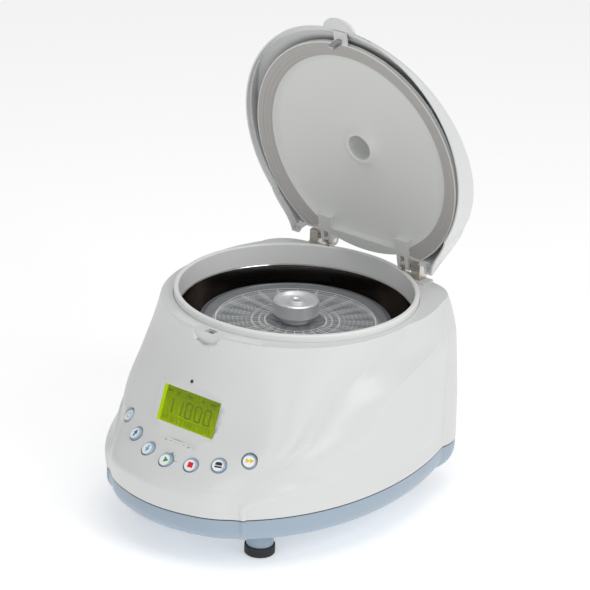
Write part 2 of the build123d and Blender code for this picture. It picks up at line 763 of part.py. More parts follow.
with BuildPart() as lid:
    add(dome_solid(0))
    add(lid_hollow.part, mode=Mode.SUBTRACT)
    with BuildSketch(lid_level(lid_edge_z - 1)):
        with BuildLine():
            lid_outline(liner_rim_w)
        make_face()
    extrude(amount=liner_z + liner_t - lid_edge_z + 1, mode=Mode.SUBTRACT)
    with BuildSketch(lid_level(liner_z + liner_t - 0.1)):
        with Locations(*lid_posts):
            Circle(lid_post_r + 0.1)
    extrude(amount=liner_rim_z + 5.6 - liner_z - liner_t, mode=Mode.SUBTRACT)
    with BuildSketch(lid_level(lid_edge_z - 1)):
        with Locations((0, hinge_notch_y)):
            Rectangle(2 * liner_back_x, 8)
    extrude(amount=liner_z + liner_t - lid_edge_z + 1, mode=Mode.SUBTRACT)
    with BuildSketch(lid_level(lid_edge_z - 1)):
        with Locations((0, hinge_notch_y - 2)):
            Rectangle(2 * hinge_block_x + 2 * fit_gap, 12)
    extrude(amount=hinge_block_top_z + 1 - lid_edge_z, mode=Mode.SUBTRACT)
    with BuildSketch(lid_level(250)):
        with Locations((0, sight_y)):
            Circle(window_hole_r)
    extrude(amount=40, mode=Mode.SUBTRACT)
    with BuildSketch(lid_level(lid_edge_z)):
        with Locations((0, lid_center_y - lid_r + 1)):
            Ellipse(grip_half_w, grip_reach + 1)
        with Locations((0, lid_center_y)):
            Circle(lid_r - 1, mode=Mode.SUBTRACT)
    extrude(amount=grip_t)
save(lid.part, "lid_shell")

# Liner: flange in the shell's rebate, gasket seat, shallow dish, sight tube and hinge ears
gasket_z = lip_z + fit_gap
seat_z = gasket_z + gasket_t
seat_in_r = gasket_r - gasket_sealing_w
rim_seat_z = liner_rim_z + gasket_t
dish_rise = liner_center_z - liner_rim_z
dish = [(gasket_inner_r * k / 6, liner_center_z - dish_rise * (k / 6) ** 2) for k in range(7)]
ear_side = [leg_x - leg_w / 2 - fit_gap - ear_w, leg_x + leg_w / 2 + fit_gap]

with BuildPart() as liner:
    with BuildSketch(lid_level(liner_z)):
        with BuildLine():
            lid_outline(liner_rim_w)
        make_face()
        Circle(gasket_r, mode=Mode.SUBTRACT)
    extrude(amount=liner_t)
    with BuildPart(mode=Mode.PRIVATE) as middle:
        with BuildSketch(lid_side_plane(0)):
            with BuildLine():
                under = Spline(*dish, tangents=[(1, 0), (1, -0.15)])
                seat = Polyline(under @ 1, (gasket_inner_r, rim_seat_z), (seat_in_r, seat_z),
                                (gasket_r, seat_z), (gasket_r, liner_z), (gasket_r + 1, liner_z),
                                (gasket_r + 1, seat_z + liner_t), (seat_in_r, seat_z + liner_t),
                                (gasket_inner_r - 1, rim_seat_z + liner_t))
                over = Spline(*[(r, z + liner_t) for r, z in reversed(dish[:-1])])
                Line(seat @ 1, over @ 0)
                Line(over @ 1, under @ 0)
            make_face()
        revolve(axis=lid_axis)
        with BuildSketch(lid_level(200)):
            with Locations((0, hinge_notch_y - lid_wall + 100)):
                Rectangle(400, 200)
        extrude(amount=90, mode=Mode.SUBTRACT)
    add(middle.part)
    with BuildSketch(lid_level(liner_z)):
        with Locations((0, sight_y)):
            Circle(sight_r + sight_wall)
    extrude(amount=window_z - liner_z)
    with BuildSketch(lid_level(liner_z - 1)):
        with Locations((0, sight_y)):
            Circle(sight_r)
    extrude(amount=90, mode=Mode.SUBTRACT)

# Gasket: a soft ring that lands on the chamber's raised lip, cut straight behind the dish
with BuildPart() as gasket:
    with BuildSketch(lid_side_plane(0)):
        with BuildLine():
            Polyline((gasket_r, gasket_z), (seat_in_r, gasket_z), (gasket_inner_r, liner_rim_z),
                     (gasket_inner_r, rim_seat_z), (seat_in_r, seat_z), (gasket_r, seat_z), close=True)
        make_face()
    revolve(axis=lid_axis)
    with BuildSketch(lid_level(200)):
        with Locations((0, hinge_notch_y - lid_wall + 100)):
            Rectangle(400, 200)
    extrude(amount=90, mode=Mode.SUBTRACT)
save(gasket.part, "lid_gasket")

# Hinge block of the liner: a rear wall with a bowed crossbar, and two ears round each leg
with BuildPart() as hinge_block:
    with BuildSketch(lid_level(gasket_z)):
        with Locations((0, (ear_arm_y + hinge_notch_y) / 2)):
            Rectangle(2 * hinge_block_x, hinge_notch_y - ear_arm_y)
    extrude(amount=hinge_block_top_z - gasket_z)
    with BuildSketch(lid_level(gasket_z - 1)):
        with Locations((0, hinge_notch_y + 3)):
            Rectangle(2 * recess_half_w, 12)
    extrude(amount=hinge_block_top_z - gasket_z - 2, mode=Mode.SUBTRACT)
    with BuildSketch(lid_level(gasket_z)):
        with BuildLine():
            bow = ThreePointArc((-crossbar_half_w, hinge_notch_y), (0, crossbar_bow),
                                (crossbar_half_w, hinge_notch_y))
            Polyline(bow @ 1, (crossbar_half_w, ear_arm_y), (-crossbar_half_w, ear_arm_y), bow @ 0)
        make_face()
    extrude(amount=crossbar_t)
    for start in ear_side + [-ear_side[0] - ear_w, -ear_side[1] - ear_w]:
        with BuildSketch(lid_side_plane(start)):
            with Locations((hinge_y, hinge_z)):
                Circle(ear_r)
            with Locations(((ear_arm_y + hinge_y) / 2, hinge_z)):
                Rectangle(hinge_y - ear_arm_y, 2 * ear_r)
        extrude(amount=ear_w)
    for start in (-80, 20):
        with BuildSketch(lid_side_plane(start)):
            with Locations((hinge_y, hinge_z)):
                Circle(pin_r + running_gap)
        extrude(amount=60, mode=Mode.SUBTRACT)

with BuildPart() as liner_done:
    add(liner.part)
    add(hinge_block.part)
    add(gasket.part, mode=Mode.SUBTRACT)
    with BuildSketch(lid_level(liner_z - 1)):
        with Locations((0, latch_y)):
            Rectangle(striker_w, striker_t)
    extrude(amount=20, mode=Mode.SUBTRACT)
save(liner_done.part, "lid_liner")

with BuildPart() as window:
    with BuildSketch(lid_level(window_z)):
        with Locations((0, sight_y)):
            Circle(window_hole_r - fit_gap)
    extrude(amount=window_t + 3.4)
    fillet(window.edges().filter_by(GeomType.CIRCLE).sort_by(lid_axis)[-1], 1.0)
save(window.part, "sight_window")

with BuildPart() as striker:
    with BuildSketch(lid_side_plane(-striker_w / 2)):
        with BuildLine():
            Polyline((latch_y - striker_t / 2, striker_top_z), (latch_y + striker_t / 2, striker_top_z),
                     (latch_y + striker_t / 2, striker_end_z + 2), (latch_y + 0.8, striker_end_z),
                     (latch_y - 0.8, striker_end_z), (latch_y - striker_t / 2, striker_end_z + 2),
                     close=True)
        make_face()
    extrude(amount=striker_w)
    with BuildSketch(lid_level(liner_z + liner_t)):
        with Locations((0, latch_y)):
            Rectangle(*striker_boss)
    extrude(amount=striker_boss_t)
    with BuildSketch(lid_side_plane(-10)):
        with Locations((latch_y, striker_eye_z + striker_eye_l / 2 - striker_eye_r)):
            SlotOverall(striker_eye_l, 2 * striker_eye_r, rotation=90)
    extrude(amount=20, mode=Mode.SUBTRACT)
save(striker.part, "lid_striker")

# Hinge: two steel posts with their pins, and two legs that stand between the ears
post_bottom_z = top_z + platform_h
with BuildPart() as hinge_posts:
    with BuildSketch(level(post_bottom_z)):
        with Locations((post_block_x, hinge_y), (-post_block_x, hinge_y)):
            Rectangle(post_block_w, post_block_d)
    extrude(amount=post_block_top_z - post_bottom_z)
    chamfer(hinge_posts.edges().group_by(Axis.Z)[-1], 1.5)
    for start in (-80, 20):
        with BuildSketch(side_plane(start)):
            with Locations((hinge_y, hinge_z)):
                Circle(pin_r)
        extrude(amount=60, mode=Mode.SUBTRACT)
save(hinge_posts.part, "hinge_posts")

pin_inner_x = ear_side[0]
pin_outer_x = post_block_x + post_block_w / 2
with BuildPart() as pins:
    for start in (pin_inner_x, -pin_outer_x):
        with BuildSketch(side_plane(start)):
            with Locations((hinge_y, hinge_z)):
                Circle(pin_r)
        extrude(amount=pin_outer_x - pin_inner_x)
save(pins.part, "hinge_pins")

with BuildPart() as legs:
    for x in (leg_x, -leg_x):
        with BuildSketch(side_plane(x - leg_w / 2)):
            with Locations((hinge_y, hinge_z)):
                Circle(leg_round_r)
            with Locations((hinge_y, (hinge_z + post_bottom_z) / 2)):
                Rectangle(leg_d, hinge_z - post_bottom_z)
        extrude(amount=leg_w)
    for start in (-80, 20):
        with BuildSketch(side_plane(start)):
            with Locations((hinge_y, hinge_z)):
                Circle(pin_r)
        extrude(amount=60, mode=Mode.SUBTRACT)
save(legs.part, "hinge_legs")

# Control panel
with BuildPart() as display_window:
    with BuildSketch(frame_plane.offset(-window_set - window_t)):
        Rectangle(display_w + 2 * module_margin - 2 * fit_gap, display_h + 2 * module_margin - 2 * fit_gap)
    extrude(amount=window_t)
save(display_window.part, "display_window")

with BuildPart() as lcd:
    with BuildSketch(frame_plane.offset(-window_set - window_t - module_t)):
        Rectangle(display_w + 2 * module_margin - 2 * fit_gap, display_h + 2 * module_margin - 2 * fit_gap)
    extrude(amount=module_t)
save(lcd.part, "lcd_module")

with BuildPart() as control_board:
    with BuildSketch(frame_plane.offset(-window_set - window_t - module_t - board_t)):
        Rectangle(frame_w, frame_h)
    extrude(amount=board_t)
save(control_board.part, "control_board")

with BuildPart() as lamp:
    with BuildSketch(display_face.offset(-7)):
        with Locations((lamp_at[0] - display_x, lamp_up)):
            Circle(lamp_r)
    extrude(amount=6.5)
save(lamp.part, "status_lamp")

for i, name in enumerate(button_names):
    face = button_plane(i)
    with BuildPart() as button:
        with BuildSketch(face.offset(-button_skirt)):
            Circle(button_r)
        extrude(amount=button_skirt + button_stand - button_label_t)
        chamfer(button.edges().sort_by(Axis(face.origin, face.z_dir))[-1], 0.6)
    save(button.part, "button_" + name)
    with BuildPart() as symbol:
        with BuildSketch(face.offset(button_stand - button_label_t)):
            Circle(button_label_r)
        extrude(amount=button_label_t)
    save(symbol.part, "symbol_" + name)

with BuildPart() as switches:
    for i in range(len(button_names)):
        with BuildSketch(button_plane(i).offset(-guide_depth - switch_t)):
            Circle(guide_r)
        extrude(amount=switch_t)
        with BuildSketch(button_plane(i).offset(-guide_depth)):
            Circle(stem_r)
        extrude(amount=guide_depth - button_skirt - button_travel - running_gap)
save(switches.part, "panel_switches")

# Latch under the slot
with BuildPart() as latch_frame:
    with BuildSketch(level(top_z - wall - latch_body_h)):
        with Locations((0, latch_y)):
            Rectangle(latch_body_l, latch_body_d)
            Rectangle(striker_w + 1.6, striker_t + 2, mode=Mode.SUBTRACT)
        with Locations((-latch_body_l / 2 - coil_l / 2, latch_y)):
            Rectangle(coil_l, coil_d)
    extrude(amount=latch_body_h)
    with BuildSketch(side_plane(-latch_body_l / 2 - coil_l - 1)):
        with Locations((latch_y, striker_eye_z)):
            Circle(bolt_r + running_gap)
    extrude(amount=latch_body_l + coil_l + 2, mode=Mode.SUBTRACT)
save(latch_frame.part, "latch_frame")

bolt_tip_x = striker_w / 2 + bolt_past_eye - bolt_travel
with BuildPart() as bolt:
    with BuildSketch(side_plane(bolt_tip_x - bolt_l)):
        with Locations((latch_y, striker_eye_z)):
            Circle(bolt_r)
    extrude(amount=bolt_l)
save(bolt.part, "latch_bolt")

# Labels on the top, either side of the slot
with BuildPart() as labels:
    with BuildSketch(level(top_z)):
        for side in (-1, 1):
            turns = [side * turn for turn in label_turns]
            middle_turn = (turns[0] + turns[1]) / 2
            with BuildLine():
                inner_arc = ThreePointArc(polar(turns[0], label_rim[0]), polar(middle_turn, label_rim[0]),
                                          polar(turns[1], label_rim[0]))
                outer_arc = ThreePointArc(polar(turns[0], label_rim[1]), polar(middle_turn, label_rim[1]),
                                          polar(turns[1], label_rim[1]))
                Line(inner_arc @ 0, outer_arc @ 0)
                Line(inner_arc @ 1, outer_arc @ 1)
            make_face()
    extrude(amount=label_t)
save(labels.part, "top_labels")

# Power board on its standoffs, and the rear plate with inlet and rocker
with BuildPart() as power_board:
    with BuildSketch(level(floor_z + standoff_h)):
        with Locations((0, board_y)):
            Rectangle(*board_size)
    extrude(amount=board_t)
    with BuildSketch(level(floor_z + standoff_h + board_t)):
        with Locations((0, board_y)):
            Rectangle(transformer_size[0], transformer_size[1])
    extrude(amount=transformer_size[2])
save(power_board.part, "power_board")

with BuildPart() as back_plate:
    with BuildSketch(back_face.offset(-back_plate_t)):
        Rectangle(back_plate_w - 2 * fit_gap, back_plate_h - 2 * fit_gap)
        with Locations((inlet_x, 0)):
            Rectangle(inlet_w + fit_gap, inlet_h + fit_gap, mode=Mode.SUBTRACT)
        with Locations((rocker_x, 0)):
            Rectangle(rocker_w + 3, rocker_h + 3, mode=Mode.SUBTRACT)
    extrude(amount=back_plate_t)
save(back_plate.part, "back_plate")

with BuildPart() as inlet:
    with BuildSketch(back_face):
        with Locations((inlet_x, 0)):
            Rectangle(inlet_w + 4, inlet_h + 4)
    extrude(amount=1.5)
    with BuildSketch(back_face):
        with Locations((inlet_x, 0)):
            Rectangle(inlet_w, inlet_h)
    extrude(amount=-inlet_depth - 2)
    with BuildSketch(back_face.offset(1.5)):
        with Locations((inlet_x, 0)):
            Rectangle(inlet_w - 4, inlet_h - 4)
    extrude(amount=-inlet_depth - 1.5, mode=Mode.SUBTRACT)
    with BuildSketch(back_face.offset(-inlet_depth)):
        with Locations((inlet_x - 7, -1.5), (inlet_x, 2.5), (inlet_x + 7, -1.5)):
            Rectangle(2, 4.5)
    extrude(amount=inlet_depth - 3)
save(inlet.part, "power_inlet")

with BuildPart() as rocker_frame:
    with BuildSketch(back_face):
        with Locations((rocker_x, 0)):
            Rectangle(rocker_w + 6, rocker_h + 6)
    extrude(amount=1.5)
    with BuildSketch(back_face):
        with Locations((rocker_x, 0)):
            Rectangle(rocker_w + 3 - fit_gap, rocker_h + 3 - fit_gap)
    extrude(amount=-rocker_depth - 1.5)
    with BuildSketch(back_face.offset(1.5)):
        with Locations((rocker_x, 0)):
            Rectangle(rocker_w + 2 * fit_gap, rocker_h + 4 * fit_gap)
    extrude(amount=-rocker_depth - 1.5, mode=Mode.SUBTRACT)
    with BuildSketch(side_plane(-rocker_x - rocker_w)):
        with Locations((back_face_y + rocker_pivot, back_plate_z)):
            Circle(rocker_axle_r + running_gap)
    extrude(amount=2 * rocker_w, mode=Mode.SUBTRACT)
save(rocker_frame.part, "rocker_frame")

# The rocker is drawn level on a plane that leans by half its swing, through its pivot
lean = radians(rocker_swing / 2)
rocker_half = rocker_h / 2 - 0.6
pivot_point = back_face.origin + Vector(-rocker_x - rocker_w / 2, rocker_pivot, 0)
rocker_side = Plane(pivot_point, x_dir=(0, cos(lean), -sin(lean)), z_dir=(1, 0, 0))
with BuildPart() as rocker:
    with BuildSketch(rocker_side):
        with BuildLine():
            Polyline((0, rocker_half), (7.2, rocker_half), (5.6, 0), (7.2, -rocker_half),
                     (0, -rocker_half), close=True)
        make_face()
        Circle(2.6)
    extrude(amount=rocker_w)
    with BuildSketch(rocker_side.offset(-1)):
        Circle(rocker_axle_r)
    extrude(amount=rocker_w + 2)
save(rocker.part, "mains_rocker")
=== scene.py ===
import json
from math import cos, pi, radians, sin

import bpy
from mathutils import Matrix, Vector


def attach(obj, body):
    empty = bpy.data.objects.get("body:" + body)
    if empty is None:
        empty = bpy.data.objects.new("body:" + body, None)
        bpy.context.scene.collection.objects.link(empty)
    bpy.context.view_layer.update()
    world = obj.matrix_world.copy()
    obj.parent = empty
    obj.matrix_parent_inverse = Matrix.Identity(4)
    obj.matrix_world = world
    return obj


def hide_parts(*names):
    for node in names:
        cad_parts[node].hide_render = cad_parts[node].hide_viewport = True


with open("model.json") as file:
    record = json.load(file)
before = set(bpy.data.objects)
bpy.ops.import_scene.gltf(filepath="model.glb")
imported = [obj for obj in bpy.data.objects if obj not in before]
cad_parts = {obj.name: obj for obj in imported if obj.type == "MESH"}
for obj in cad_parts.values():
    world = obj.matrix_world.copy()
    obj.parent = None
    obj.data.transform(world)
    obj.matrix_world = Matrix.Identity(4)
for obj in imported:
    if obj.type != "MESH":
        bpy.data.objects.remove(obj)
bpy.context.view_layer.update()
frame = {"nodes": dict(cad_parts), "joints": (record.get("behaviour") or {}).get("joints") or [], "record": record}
record = frame["record"]
body_of = {node: body for body, nodes in record["behaviour"]["bodies"].items() for node in nodes}
slot_of = {part["node"]: part["material_slot"] for part in record["subparts"]}

MM = 0.001
joint_at = {joint["name"]: Vector(joint["pos_m"]) for joint in frame["joints"]}
SPIN = (0.0, joint_at["rotor_spin"].y)


def place(x, y, z):
    """Metres in the row frame from millimetres counted from the rotor's axis."""
    return Vector((x * MM, SPIN[1] + y * MM, z * MM))


# Camera, solved from the photograph
TURN, RISE, ROLL = radians(38.25), radians(22.43), radians(2.17)
CAMERA_AT = (1.81881, SPIN[1] - 2.30966, 1.43065)
back = Vector((sin(TURN) * cos(RISE), -cos(TURN) * cos(RISE), sin(RISE)))
right = Vector((cos(TURN), sin(TURN), 0))
up = back.cross(right)
across = right * cos(ROLL) + up * sin(ROLL)
upright = up * cos(ROLL) - right * sin(ROLL)
bpy.ops.object.camera_add()
camera = bpy.context.object
camera.matrix_world = Matrix((
    (across.x, upright.x, back.x, CAMERA_AT[0]),
    (across.y, upright.y, back.y, CAMERA_AT[1]),
    (across.z, upright.z, back.z, CAMERA_AT[2]),
    (0, 0, 0, 1)))
camera.data.sensor_width = 36
camera.data.lens = 190.91
camera.data.clip_start = 0.05
camera.data.clip_end = 30
bpy.context.scene.camera = camera
bpy.context.scene.view_settings.view_transform = "Standard"


# Materials
class Field:
    """A number or colour that varies over a surface, with arithmetic made of shader nodes."""

    def __init__(self, tree, socket):
        self.tree = tree
        self.socket = socket

    def math(self, operation, other=None):
        node = self.tree.nodes.new("ShaderNodeMath")
        node.operation = operation
        self.tree.links.new(self.socket, node.inputs[0])
        if isinstance(other, Field):
            self.tree.links.new(other.socket, node.inputs[1])
        elif other is not None:
            node.inputs[1].default_value = other
        return Field(self.tree, node.outputs[0])

    def __add__(self, other):
        return self.math("ADD", other)

    def __sub__(self, other):
        return self.math("SUBTRACT", other)

    def __mul__(self, other):
        return self.math("MULTIPLY", other)

    def __truediv__(self, other):
        return self.math("DIVIDE", other)

    def over(self, other):
        return self.math("GREATER_THAN", other)

    def under(self, other):
        return self.math("LESS_THAN", other)

    def between(self, low, high):
        return self.over(low) * self.under(high)


class Look:
    """One procedural material with a single surface shader."""

    def __init__(self, name, base, rough, metal=0.0, coat=0.0, alpha=1.0):
        self.material = bpy.data.materials.new(name)
        self.material.use_nodes = True
        self.tree = self.material.node_tree
        self.shader = self.tree.nodes["Principled BSDF"]
        self.shader.inputs["Base Color"].default_value = (*base, 1)
        self.shader.inputs["Roughness"].default_value = rough
        self.shader.inputs["Metallic"].default_value = metal
        self.shader.inputs["Coat Weight"].default_value = coat
        self.shader.inputs["Coat Roughness"].default_value = 0.12
        self.shader.inputs["Alpha"].default_value = alpha
        coords = self.tree.nodes.new("ShaderNodeTexCoord")
        split = self.tree.nodes.new("ShaderNodeSeparateXYZ")
        self.coords = coords.outputs["Object"]
        self.tree.links.new(self.coords, split.inputs[0])
        self.x, self.y, self.z = [Field(self.tree, socket) for socket in split.outputs]

    def noise(self, scale, detail=2.0, stretch=(1, 1, 1)):
        mapping = self.tree.nodes.new("ShaderNodeMapping")
        mapping.inputs["Scale"].default_value = stretch
        texture = self.tree.nodes.new("ShaderNodeTexNoise")
        texture.inputs["Scale"].default_value = scale
        texture.inputs["Detail"].default_value = detail
        self.tree.links.new(self.coords, mapping.inputs[0])
        self.tree.links.new(mapping.outputs[0], texture.inputs["Vector"])
        return Field(self.tree, texture.outputs[0])

    def radius(self, x=0.0, y=SPIN[1]):
        dx, dy = self.x - x, self.y - y
        return (dx * dx + dy * dy).math("SQRT")

    def angle(self, x=0.0, y=SPIN[1]):
        return (self.y - y).math("ARCTAN2", self.x - x)

    def mix(self, factor, low, high):
        node = self.tree.nodes.new("ShaderNodeMix")
        node.data_type = "RGBA"
        self.tree.links.new(factor.socket, node.inputs["Factor"])
        for name, value in (("A", low), ("B", high)):
            socket = [s for s in node.inputs if s.name == name and s.type == "RGBA"][0]
            if isinstance(value, Field):
                self.tree.links.new(value.socket, socket)
            else:
                socket.default_value = (*value, 1)
        return Field(self.tree, [s for s in node.outputs if s.type == "RGBA"][0])

    def set(self, name, field):
        self.tree.links.new(field.socket, self.shader.inputs[name])

    def bump(self, field, strength, distance):
        node = self.tree.nodes.new("ShaderNodeBump")
        node.inputs["Strength"].default_value = strength
        node.inputs["Distance"].default_value = distance
        self.tree.links.new(field.socket, node.inputs["Height"])
        self.tree.links.new(node.outputs[0], self.shader.inputs["Normal"])


def moulded(name, base, rough, coat=0.08, grain=0.05):
    """Moulded plastic: a fine grain and a faint change of gloss."""
    look = Look(name, base, rough, coat=coat)
    look.bump(look.noise(2600, 1), grain, 0.0002)
    look.set("Roughness", look.noise(40, 2) * 0.08 + (rough - 0.04))
    return look


def turned_metal(name, base, rough, rings, strength=0.15):
    """Metal turned about the rotor's axis: fine rings in relief and in gloss."""
    look = Look(name, base, rough, metal=1.0)
    wave = (look.radius() * rings + look.z * rings).math("SINE")
    look.bump(wave, strength, 0.00005)
    look.set("Roughness", wave * 0.04 + rough)
    return look


def brushed(name, base, rough, stretch=(30, 30, 900)):
    look = Look(name, base, rough, metal=1.0)
    streaks = look.noise(1.0, 3, stretch)
    look.set("Roughness", streaks * 0.2 + (rough - 0.1))
    look.bump(streaks, 0.08, 0.0001)
    return look


looks = {
    "body_white": moulded("body_white", (0.685, 0.695, 0.69), 0.36),
    "base_blue": moulded("base_blue", (0.34, 0.42, 0.505), 0.38),
    "lid_grey": moulded("lid_grey", (0.70, 0.71, 0.69), 0.42),
    "collar_grey": moulded("collar_grey", (0.80, 0.81, 0.80), 0.38),
    "black_rubber": moulded("black_rubber", (0.022, 0.022, 0.025), 0.7, coat=0, grain=0.3),
    "seam_black": moulded("seam_black", (0.05, 0.055, 0.065), 0.6, coat=0),
    "gasket_rubber": moulded("gasket_rubber", (0.42, 0.405, 0.39), 0.45),
    "bowl_steel": turned_metal("bowl_steel", (0.25, 0.225, 0.21), 0.22, 4000),
    "hinge_steel": brushed("hinge_steel", (0.62, 0.58, 0.53), 0.30),
    "pin_steel": brushed("pin_steel", (0.60, 0.60, 0.61), 0.25),
    "screw_steel": brushed("screw_steel", (0.50, 0.50, 0.52), 0.35),
    "rotor_aluminium": turned_metal("rotor_aluminium", (0.19, 0.20, 0.215), 0.34, 5000),
    "knob_aluminium": turned_metal("knob_aluminium", (0.82, 0.83, 0.85), 0.5, 9000, 0.3),
    "plate_aluminium": brushed("plate_aluminium", (0.60, 0.61, 0.62), 0.38, (900, 30, 30)),
    "motor_black": moulded("motor_black", (0.03, 0.03, 0.035), 0.45),
    "cover_clear": Look("cover_clear", (0.85, 0.88, 0.90), 0.06, coat=0.3, alpha=0.22),
    "window_clear": Look("window_clear", (0.95, 0.97, 0.97), 0.05, coat=0.4, alpha=0.12),
    "display_clear": Look("display_clear", (0.50, 0.70, 0.05), 0.12, alpha=0.10),
    "lcd_green": Look("lcd_green", (0.48, 0.62, 0.0), 0.5),
    "lamp_green": Look("lamp_green", (0.015, 0.02, 0.015), 0.2, coat=0.5),
    "button_blue": moulded("button_blue", (0.22, 0.32, 0.42), 0.28, coat=0.3),
    "symbol_white": moulded("symbol_white", (0.85, 0.87, 0.87), 0.30, coat=0.3),
    "label_film": moulded("label_film", (0.75, 0.77, 0.78), 0.25, coat=0.4),
    "board_green": moulded("board_green", (0.01, 0.07, 0.03), 0.4),
    "switch_black": moulded("switch_black", (0.02, 0.02, 0.024), 0.5),
    "latch_steel": brushed("latch_steel", (0.50, 0.50, 0.52), 0.32),
    "inlet_black": moulded("inlet_black", (0.018, 0.018, 0.02), 0.5),
    "rocker_black": moulded("rocker_black", (0.02, 0.02, 0.022), 0.3, coat=0.3),
}
lcd = looks["lcd_green"]
lcd.shader.inputs["Emission Color"].default_value = (0.52, 0.68, 0.0, 1)
lcd.shader.inputs["Emission Strength"].default_value = 0.55

# The reader cover carries white scales: circles, and a fine line for each tube slot
cover = looks["cover_clear"]
SLOTS = 24
CIRCLES = ((0.0312, 0.0320), (0.0372, 0.0378), (0.0446, 0.0452), (0.0815, 0.0823))
from_axis = cover.radius()
in_slot = (cover.angle() * (SLOTS / (2 * pi))).math("FRACT") - 0.5
beside = in_slot.math("ABSOLUTE") * from_axis * (2 * pi / SLOTS)
lines = beside.under(0.00035) * from_axis.between(0.031, 0.081)
scale_step = (from_axis * 220).math("FRACT")
dashes = beside.between(0.0016, 0.0036) * scale_step.under(0.22) * from_axis.between(0.046, 0.078)
printed = lines + dashes * 0.7
for inner, outer in CIRCLES:
    printed = printed + from_axis.between(inner, outer)
printed = printed.math("MINIMUM", 1.0)
cover.set("Alpha", printed * 0.62 + 0.20)
cover.set("Base Color", cover.mix(printed, (0.62, 0.66, 0.68), (0.95, 0.95, 0.95)))

# CAD pieces as merged, smooth-shaded copies
SMOOTH_ANGLE = 30
CASING_ANGLE = 24


def only(obj):
    bpy.ops.object.select_all(action="DESELECT")
    obj.select_set(True)
    bpy.context.view_layer.objects.active = obj


def node_copy(node, angle):
    """A copy of a CAD node with its loose triangles merged and its flat faces kept flat."""
    only(frame["nodes"][node])
    bpy.ops.object.duplicate()
    copy = bpy.context.object
    copy.name = node + "_skin"
    copy.data.materials.clear()
    copy.data.materials.append(looks[slot_of[node]].material)
    bpy.ops.object.mode_set(mode="EDIT")
    bpy.ops.mesh.select_all(action="SELECT")
    bpy.ops.mesh.remove_doubles(threshold=0.000005)
    bpy.ops.mesh.dissolve_degenerate(threshold=0.000001)
    bpy.ops.mesh.dissolve_limited(angle_limit=radians(0.25))
    bpy.ops.object.mode_set(mode="OBJECT")
    bpy.ops.object.shade_smooth_by_angle(angle=radians(angle))
    weights = copy.modifiers.new("weights", "WEIGHTED_NORMAL")
    weights.keep_sharp = True
    bpy.ops.object.modifier_apply(modifier=weights.name)
    return copy


def stand_for(copy, node):
    """Puts a finished piece in place of a CAD node."""
    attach(copy, body_of[node])
    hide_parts(node)


OWN_FORMS = ("lid_liner", "lid_gasket")
for node in sorted(set(body_of) - set(OWN_FORMS)):
    stand_for(node_copy(node, CASING_ANGLE if node == "upper_casing" else SMOOTH_ANGLE), node)


# Small pieces are drawn in millimetres on a plane: u to its right, v up it, w out of it
def plane_frame(origin, along, out):
    """Matrix of a plane with its origin, its u direction and the direction it faces."""
    u, w = along.normalized(), out.normalized()
    v = w.cross(u)
    rows = [(u[k], v[k], w[k], origin[k]) for k in range(3)]
    return Matrix(rows + [(0, 0, 0, 1)])


def settle(obj, plane, u, v, w, size, turn):
    """Puts a unit primitive on a plane at its size and leaves its object at the origin."""
    only(obj)
    scale = Matrix.Diagonal((size[0] * MM, size[1] * MM, size[2] * MM, 1))
    spot = Matrix.Translation(Vector((u, v, w)) * MM)
    obj.matrix_world = plane @ spot @ Matrix.Rotation(turn, 4, "Z") @ scale
    bpy.ops.object.transform_apply(location=True, rotation=True, scale=True)
    return obj


def bar(plane, u, v, w, size, turn=0.0):
    """A box on a plane, standing on height w, with its size along the plane's u, v and w."""
    bpy.ops.mesh.primitive_cube_add(size=1)
    return settle(bpy.context.object, plane, u, v, w + size[2] / 2, size, turn)


def disc(plane, u, v, w, size, sides=48, turn=0.0):
    """A round plate on a plane, standing on height w, with its two diameters and its height."""
    bpy.ops.mesh.primitive_cylinder_add(vertices=sides, radius=0.5, depth=1)
    return settle(bpy.context.object, plane, u, v, w + size[2] / 2, size, turn)


def joined(name, parts, look, body):
    """Joins small pieces into one named object with one material, riding on a CAD body."""
    bpy.ops.object.select_all(action="DESELECT")
    for part in parts:
        part.select_set(True)
    bpy.context.view_layer.objects.active = parts[0]
    if len(parts) > 1:
        bpy.ops.object.join()
    piece = bpy.context.object
    piece.name = name
    piece.data.materials.clear()
    piece.data.materials.append(look.material)
    bpy.ops.object.shade_smooth_by_angle(angle=radians(SMOOTH_ANGLE))
    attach(piece, body)
    return piece


# Lid pieces are built shut, in millimetres from the rotor's axis, and then turned up
OPEN = radians(78)
hinge = joint_at["lid_hinge"]
lid_frame = Matrix.Translation(hinge) @ Matrix.Rotation(-OPEN, 4, "X") @ Matrix.Translation(-hinge)
lid_frame = lid_frame @ Matrix.Translation((0, SPIN[1], 0))
rotor_frame = Matrix.Translation((0, SPIN[1], 0))
SIGHT_Y = -5.0
REAR_CUT = 102.4
HINGE_FROM_Y = 98.9
HINGE_HALF = 60.1
LEG_X = 50.2


def lathe(rings, matrix, sides=160):
    """A closed turned form from rings of radius, centre along y, and height, put in place by a matrix."""
    radius, along, height = rings[0]
    centre = (0, along * MM, height * MM)
    bpy.ops.mesh.primitive_circle_add(vertices=sides, radius=radius * MM, location=centre)
    piece = bpy.context.object
    bpy.ops.object.transform_apply(location=True, rotation=True, scale=True)
    bpy.ops.object.mode_set(mode="EDIT")
    bpy.ops.mesh.select_all(action="SELECT")
    for before, after in zip(rings, rings[1:] + rings[:1]):
        step = (0, (after[1] - before[1]) * MM, (after[2] - before[2]) * MM)
        bpy.ops.mesh.extrude_region_move(TRANSFORM_OT_translate={"value": step})
        grow = after[0] / before[0]
        bpy.ops.transform.resize(value=(grow, grow, 1))
    bpy.ops.mesh.select_all(action="SELECT")
    bpy.ops.mesh.remove_doubles(threshold=0.000002)
    bpy.ops.mesh.normals_make_consistent(inside=False)
    bpy.ops.object.mode_set(mode="OBJECT")
    piece.matrix_world = matrix
    bpy.ops.object.transform_apply(location=True, rotation=True, scale=True)
    return piece


